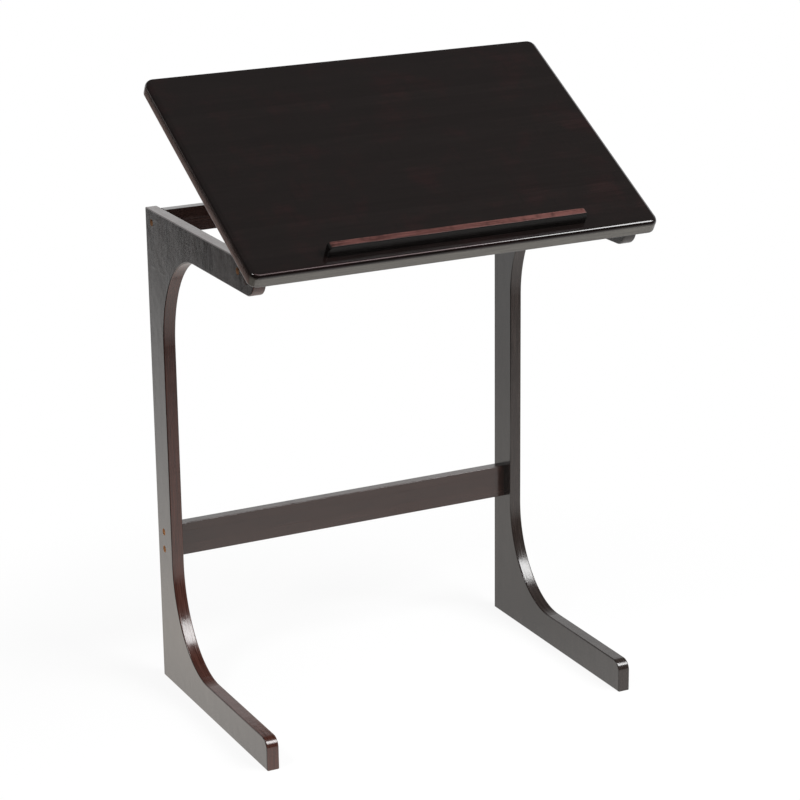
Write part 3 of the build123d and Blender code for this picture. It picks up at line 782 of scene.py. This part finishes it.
def build_screw_tree():
    """Geometry Nodes tree: a screw with a domed head, a drive recess and a thread on each point."""
    tree = bpy.data.node_groups.new("screw_on_points", "GeometryNodeTree")
    add_sockets(tree, "INPUT", ["Geometry"], "Geometry")
    add_sockets(tree, "INPUT", MEASURED + CHOSEN, "Float")
    add_sockets(tree, "INPUT", ["Columns", "Rings"], "Int")
    add_sockets(tree, "INPUT", ["Material"], "Material")
    add_sockets(tree, "OUTPUT", ["Geometry"], "Geometry")
    given = tree.nodes.new("NodeGroupInput").outputs
    head, height = given["Head Radius"], given["Head Height"]
    shank, drive = given["Shank Radius"], given["Drive Radius"]
    sheet, ring, column = index_of(tree, given["Columns"], given["Rings"])
    angle = over(tree, times(tree, column, math.tau), given["Columns"])

    # Drive recess: six flats, or a cross where the cross has a width
    flat = minus(tree, HALF_SIDE, pingpong(tree, angle, HALF_SIDE))
    six = times(tree, over(tree, math.cos(HALF_SIDE), cosine(tree, flat)), drive)
    slot = larger(tree, sine(tree, pingpong(tree, angle, HALF_CROSS)), LEAST_SINE)
    slot = over(tree, over(tree, given["Cross Width"], 2.0), slot)
    slot = smaller(tree, slot, drive)
    crossed = is_more(tree, given["Cross Width"], 0.0)
    recess = scale_add(tree, crossed, minus(tree, slot, six), six)
    mouth = times(tree, height, MOUTH_SHARE)
    floor = minus(tree, height, given["Drive Depth"])

    # Domed head
    part = over(tree, minus(tree, ring, float(RECESS_RINGS)), DOME_RINGS - 1.0)
    bend = times(tree, part, math.pi / 2)
    dome_r = scale_add(tree, sine(tree, bend), 1 - DOME_START_SHARE, DOME_START_SHARE)
    dome_r = times(tree, dome_r, head)
    sunk = times(tree, rest_of(tree, cosine(tree, bend)), rest_of(tree, given["Head Flatness"]))
    dome_z = times(tree, rest_of(tree, sunk), height)

    # Shank with its thread and tip, below the head's rings
    last = minus(tree, given["Rings"], HEAD_RINGS + 1.0)
    down = over(tree, minus(tree, ring, float(HEAD_RINGS)), last)
    shank_z = times(tree, down, given["Shank Length"], -1.0)
    turn = over(tree, shank_z, given["Pitch"])
    turn = fraction(tree, minus(tree, turn, over(tree, angle, math.tau)))
    wave = smaller(tree, times(tree, apart(tree, turn, 0.5), THREAD_STEEPNESS), 1.0)
    threaded = is_less(tree, shank_z, times(tree, given["Plain Length"], -1.0))
    cut = times(tree, wave, threaded, THREAD_DEPTH_SHARE)
    taper = plus(tree, shank_z, given["Shank Length"])
    taper = over(tree, taper, times(tree, shank, TIP_SHARE))
    shank_r = times(tree, shank, rest_of(tree, cut), smaller(tree, taper, 1.0))

    # Radius and height of every ring, from the shank in to the recess's middle
    radius, level = shank_r, shank_z
    outline = (
        (HEAD_RINGS - 1, head, 0.0),
        (HEAD_RINGS - 2, dome_r, dome_z),
        (RECESS_RINGS - 1, plus(tree, recess, mouth), height),
        (RECESS_RINGS - 2, recess, minus(tree, height, mouth)),
        (1, recess, floor),
        (0, 0.0, floor),
    )
    for last_ring, wide, high in outline:
        radius = pick(tree, ring, last_ring, wide, radius)
        level = pick(tree, ring, last_ring, high, level)
    x, y = times(tree, radius, cosine(tree, angle)), times(tree, radius, sine(tree, angle))
    rolled = add(tree, "GeometryNodeSetPosition", sheet, None, join(tree, x, y, level))
    closed = add(tree, "GeometryNodeMergeByDistance", rolled, None, WELD)
    smooth = add(tree, "GeometryNodeSetShadeSmooth", closed, None, True)
    crease = tree.nodes.new("GeometryNodeInputMeshEdgeAngle").outputs["Unsigned Angle"]
    sharp = is_more(tree, crease, CREASE_ANGLE)
    smooth = add(tree, "GeometryNodeSetShadeSmooth", smooth, sharp, False, domain="EDGE")

    # One screw on each point, turned to look along the point's direction
    way = add(tree, "GeometryNodeInputNamedAttribute", "looks", data_type="FLOAT_VECTOR")
    turn = add(tree, "FunctionNodeAlignRotationToVector", None, None, way, axis="Z")
    sockets = given["Geometry"], None, smooth, None, None, turn
    copies = add(tree, "GeometryNodeInstanceOnPoints", *sockets)
    real = add(tree, "GeometryNodeRealizeInstances", copies)
    result = add(tree, "GeometryNodeSetMaterial", real, None, given["Material"])
    add(tree, "NodeGroupOutput", result)
    return tree


def make_screws(name, body, material, pitch, cross=0.0, flatness=SCREW_FLATNESS):
    """Threaded screws in place of a CAD node's plain ones."""
    metal = bpy.context.scene.table_metal
    seats, sizes = measure_screws(name)
    mesh = bpy.data.meshes.new(f"{name}_seats")
    mesh.from_pydata([seat for seat, way in seats], [], [])
    looks = mesh.attributes.new("looks", "FLOAT_VECTOR", "POINT")
    looks.data.foreach_set("vector", [part for seat, way in seats for part in way])
    holder = bpy.data.objects.new(f"{name}_seats", mesh)
    bpy.context.scene.collection.objects.link(holder)
    tree = bpy.data.node_groups.get("screw_on_points") or build_screw_tree()
    turns = sizes["Shank Length"] / pitch
    values = {
        **{key: float(value) for key, value in sizes.items()},
        "Head Flatness": flatness,
        "Cross Width": cross,
        "Pitch": pitch,
        "Plain Length": float(sizes["Shank Length"]) * metal.plain_share,
        "Columns": metal.columns,
        "Rings": HEAD_RINGS + 1 + round(turns * metal.rings_per_turn),
        "Material": material,
    }
    modifier = holder.modifiers.new("screws", "NODES")
    modifier.node_group = tree
    for item in tree.interface.items_tree:
        if item.in_out == "INPUT" and item.name in values:
            modifier[item.identifier] = values[item.name]
    bpy.context.view_layer.update()
    graph = bpy.context.evaluated_depsgraph_get()
    solid = bpy.data.meshes.new_from_object(holder.evaluated_get(graph))
    bpy.data.objects.remove(holder)
    if not solid.polygons:
        raise RuntimeError(f"no screws were made for {name}")
    piece = bpy.data.objects.new(f"{name}_threaded", solid)
    bpy.context.scene.collection.objects.link(piece)
    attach(piece, body)
    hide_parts(name)


# How fine the zinc's spangle and the nylon's haze are, and how the black coat's bumps show
SPANGLE_SCALE = 900.0
HAZE_SCALE = 400.0
COAT_BUMP_STRENGTH = 0.4
COAT_BUMP_DEPTH = 0.0001


def fine_noise(tree, scale, detail, harshness=0.5):
    """Noise on the piece's own coordinates."""
    source = tree.nodes.new("ShaderNodeTexCoord").outputs["Object"]
    return add(tree, "ShaderNodeTexNoise", source, None, scale, detail, harshness)


def zinc_plate(metal):
    """Bright zinc plate with a faint cloudy spangle."""
    material, tree, shader = new_material("bright_zinc", Metallic=1.0)
    cloud = fine_noise(tree, SPANGLE_SCALE, FINE, harshness=0.6)
    fleck(tree, shader, cloud, metal.zinc, dark=0.8, light=1.3, rough=metal.zinc_roughness, spread=0.2)
    return material


def black_coat(metal):
    """Black coat with the fine bumps of powder paint."""
    material, tree, shader = new_material("black_coat")
    grit = fine_noise(tree, 1 / metal.coat_grain, SOFT)
    rough = metal.coat_roughness
    fleck(tree, shader, grit, metal.black_steel, dark=0.7, light=1.5, rough=rough, spread=0.2)
    bump = add(tree, "ShaderNodeBump", COAT_BUMP_STRENGTH, COAT_BUMP_DEPTH, None, grit)
    tree.links.new(bump, shader.inputs["Normal"])
    return material


def moulded_nylon(metal):
    """Black nylon with a soft haze."""
    material, tree, shader = new_material("black_nylon")
    haze = fine_noise(tree, HAZE_SCALE, SOFT)
    fleck(tree, shader, haze, metal.nylon, dark=0.7, light=1.4, rough=0.455, spread=0.15)
    return material


class TABLE_OT_fit_hardware(bpy.types.Operator):
    """Thread the screws and finish the steel and the nylon"""

    bl_idname = "table.fit_hardware"
    bl_label = "Fit Hardware"

    def execute(self, context):
        metal = context.scene.table_metal
        zinc = zinc_plate(metal)
        black = black_coat(metal)
        make_screws("frame_screws", "frame", zinc, metal.frame_pitch)
        make_screws("rack_screws", "frame", zinc, metal.rack_pitch)
        for name in ("stop_screws", "bracket_screws", "block_screws"):
            make_screws(name, "top", zinc, metal.wood_pitch, metal.cross_width)
        pitch = metal.bolt_pitch
        make_screws("pivot_bolts", "frame", black, pitch, flatness=BOLT_FLATNESS)
        paint(zinc, "pivot_nuts", "prop_rod")
        paint(black, "left_pivot_bracket", "right_pivot_bracket")
        paint(moulded_nylon(metal), "pivot_washers")
        return {"FINISHED"}


# Camera of the photograph: its aim, its direction and its distance
CAMERA_AIM = Vector((0.03470, 0.06192, 0.41193))
CAMERA_AZIMUTH = math.radians(-26.645)
CAMERA_ELEVATION = math.radians(17.650)
CAMERA_ROLL = math.radians(-0.672)
CAMERA_DISTANCE = 3.7623
PHOTO_WIDTH = 800
LENS_CENTRE = (398.48, 398.72)

# Where the key light and the side light hang and the place that both look at
KEY_PLACE = Vector((1.05, -1.45, 2.05))
SIDE_PLACE = Vector((-1.65, -0.60, 2.05))
LAMP_AIM = Vector((0.0, 0.05, 0.30))

# Middle of the brightest part of the mirrored floor, behind and left of the table
POOL_CENTRE = Vector((-0.45, 0.3, 0.0))

# Where that floor gets lit, in metres: from its left end, which slants, and from its front end
POOL_SLANT = 0.22
POOL_LEFT_END = (-0.74, -0.63)
POOL_FRONT_END = (-2.3, -0.4)

# Its level in front of the table, and how much darker it is behind and lighter there at the left
POOL_LEVEL = 1.13
POOL_BEHIND_SPAN = (-0.2, 0.2)
POOL_BEHIND = -0.31
POOL_LEFT_SPAN = (-0.13, -0.33)
POOL_LEFT = 0.33

# Where the mirrored wall and the ceiling are, by the three parts of a direction
WALL_BACK_SPAN = (-0.2, 0.7)
WALL_TOP_SPAN = (0.22, 0.75)
WALL_LEFT_SPAN = (-0.68, -0.50)
CEILING_SPAN = (0.4, 0.9)


def ray_masks(tree):
    """Masks of the rays from the camera, and of those that a surface mirrors or lets through."""
    rays = tree.nodes.new("ShaderNodeLightPath").outputs
    return rays["Is Camera Ray"], larger(tree, rays["Is Glossy Ray"], rays["Is Transmission Ray"])


def camera_matrix():
    """The camera's place and turn in the table's frame."""
    x, y, flat = math.cos(CAMERA_AZIMUTH), math.sin(CAMERA_AZIMUTH), math.cos(CAMERA_ELEVATION)
    level = Vector((x, y, 0))
    back = Vector((y * flat, -x * flat, math.sin(CAMERA_ELEVATION)))
    upright = back.cross(level)
    right = level * math.cos(CAMERA_ROLL) + upright * math.sin(CAMERA_ROLL)
    up = upright * math.cos(CAMERA_ROLL) - level * math.sin(CAMERA_ROLL)
    turn = Matrix((right, up, back)).transposed().to_4x4()
    return Matrix.Translation(CAMERA_AIM + back * CAMERA_DISTANCE) @ turn


class TABLE_OT_build_studio(bpy.types.Operator):
    """Lay the floor, hang the lamps and place the camera"""

    bl_idname = "table.build_studio"
    bl_label = "Build Studio"

    def execute(self, context):
        studio = context.scene.table_studio
        self.lay_floor(context.scene, studio)
        self.light_room(context.scene, studio)
        self.place_camera(context.scene, studio)
        return {"FINISHED"}

    def lay_floor(self, scene, studio):
        """A flat pale floor that reads as white and keeps the table's shadow."""
        half = studio.floor_size
        mesh = bpy.data.meshes.new("studio_floor")
        corners = [(-half, -half, 0), (half, -half, 0), (half, half, 0), (-half, half, 0)]
        mesh.from_pydata(corners, [], [(0, 1, 2, 3)])
        floor = bpy.data.objects.new("studio_floor", mesh)
        scene.collection.objects.link(floor)
        material = bpy.data.materials.new("studio_floor")
        material.use_nodes = True
        tree = material.node_tree
        tree.nodes.clear()
        source = tree.nodes.new("ShaderNodeTexCoord").outputs["Object"]
        direct, mirrored = ray_masks(tree)
        plain = add(tree, "ShaderNodeBsdfDiffuse", (*studio.floor_colour, 1))
        white = add(tree, "ShaderNodeEmission", (1, 1, 1, 1), 1.0)
        away = distance(tree, source, Vector())
        open_floor = ramp(tree, away, studio.shadow_reach / 2, studio.shadow_reach)
        part = scale_add(tree, open_floor, studio.shadow_share, 1 - studio.shadow_share)
        surface = add(tree, "ShaderNodeMixShader", times(tree, direct, part), plain, white)
        near = exponent(tree, times(tree, distance(tree, source, POOL_CENTRE), -1.0))
        glow = scale_add(tree, near, 1 - studio.pool_spread, studio.pool_spread)
        where = split(tree, source)
        slanted = scale_add(tree, where["Y"], POOL_SLANT, where["X"])
        glow = times(tree, glow, ramp(tree, slanted, *POOL_LEFT_END))
        glow = times(tree, glow, ramp(tree, where["Y"], *POOL_FRONT_END), studio.pool_glow)
        left = ramp(tree, slanted, *POOL_LEFT_SPAN)
        uneven = scale_add(tree, left, POOL_LEFT, POOL_BEHIND)
        behind = ramp(tree, where["Y"], *POOL_BEHIND_SPAN)
        glow = times(tree, glow, scale_add(tree, behind, uneven, POOL_LEVEL))
        tint = blend_colours(tree, near, (1, 1, 1), studio.pool_warmth)
        pool = add(tree, "ShaderNodeEmission", tint, glow)
        surface = add(tree, "ShaderNodeMixShader", mirrored, surface, pool)
        add(tree, "ShaderNodeOutputMaterial", surface)
        mesh.materials.append(material)

    def light_room(self, scene, studio):
        """White all round for the camera; for the varnish, a bright wall behind and a dim room."""
        world = bpy.data.worlds.new("studio")
        scene.world = world
        world.use_nodes = True
        tree = world.node_tree
        tree.nodes.clear()
        parts = split(tree, tree.nodes.new("ShaderNodeTexCoord").outputs["Generated"])
        behind = ramp(tree, parts["Y"], *WALL_BACK_SPAN)
        low = rest_of(tree, ramp(tree, parts["Z"], *WALL_TOP_SPAN))
        wall = times(tree, behind, low, ramp(tree, parts["X"], *WALL_LEFT_SPAN))
        above = ramp(tree, parts["Z"], *CEILING_SPAN)
        room = scale_add(tree, above, studio.ceiling_glow, studio.room_glow)
        room = scale_add(tree, wall, studio.wall_glow, room)
        direct, mirrored = ray_masks(tree)
        level = blend(tree, direct, blend(tree, mirrored, studio.fill, room), 1.0)
        background = add(tree, "ShaderNodeBackground", (1, 1, 1, 1), level)
        add(tree, "ShaderNodeOutputWorld", background)
        size = studio.key_width, studio.key_height
        self.hang_lamp("key_light", KEY_PLACE, size, studio.key_radiance)
        size = studio.side_size, studio.side_size
        self.hang_lamp("side_light", SIDE_PLACE, size, studio.side_radiance)
        scene.view_settings.view_transform = "Standard"

    def hang_lamp(self, name, place, size, radiance):
        """A softbox that looks at the table."""
        light = bpy.data.lights.new(name, "AREA")
        light.shape = "RECTANGLE"
        light.size, light.size_y = size
        light.energy = radiance * math.pi * math.prod(size)
        lamp = bpy.data.objects.new(name, light)
        lamp.location = place
        lamp.rotation_euler = (LAMP_AIM - place).to_track_quat("-Z", "Y").to_euler()
        bpy.context.scene.collection.objects.link(lamp)

    def place_camera(self, scene, studio):
        """The photograph's view: its lens, its place and turn, and the lens shift of its 800 by 800
        image.
        """
        data = bpy.data.cameras.new("photo_camera")
        data.lens = studio.lens
        data.shift_x = (PHOTO_WIDTH / 2 - LENS_CENTRE[0]) / PHOTO_WIDTH
        data.shift_y = (LENS_CENTRE[1] - PHOTO_WIDTH / 2) / PHOTO_WIDTH
        camera = bpy.data.objects.new("photo_camera", data)
        camera.matrix_world = camera_matrix()
        scene.collection.objects.link(camera)
        scene.camera = camera


class TABLE_PT_panel(bpy.types.Panel):
    """Sizes, colours and steps of the side table"""

    bl_idname = "TABLE_PT_panel"
    bl_label = "Side Table"
    bl_space_type = "VIEW_3D"
    bl_region_type = "UI"
    bl_category = "Side Table"

    def draw(self, context):
        scene = context.scene
        for settings in (scene.table_wood, scene.table_metal, scene.table_studio):
            box = self.layout.box()
            for name in settings.__annotations__:
                box.prop(settings, name)
        for step in STEPS:
            self.layout.operator(step.bl_idname)


STEPS = (
    TABLE_OT_varnish_frame,
    TABLE_OT_varnish_top,
    TABLE_OT_varnish_prop,
    TABLE_OT_fit_hardware,
    TABLE_OT_build_studio,
)
GROUPS = {
    "table_wood": TableWoodSettings,
    "table_metal": TableMetalSettings,
    "table_studio": TableStudioSettings,
}
CLASSES = (*GROUPS.values(), *STEPS, TABLE_PT_panel)


def register():
    for cls in CLASSES:
        bpy.utils.register_class(cls)
    for name, group in GROUPS.items():
        setattr(bpy.types.Scene, name, PointerProperty(type=group))


def unregister():
    for name in GROUPS:
        delattr(bpy.types.Scene, name)
    for cls in reversed(CLASSES):
        bpy.utils.unregister_class(cls)


def main():
    register()
    bpy.ops.table.varnish_frame()
    bpy.ops.table.varnish_top()
    bpy.ops.table.varnish_prop()
    bpy.ops.table.fit_hardware()
    bpy.ops.table.build_studio()
    bpy.context.view_layer.update()


if __name__ == "__main__":
    main()
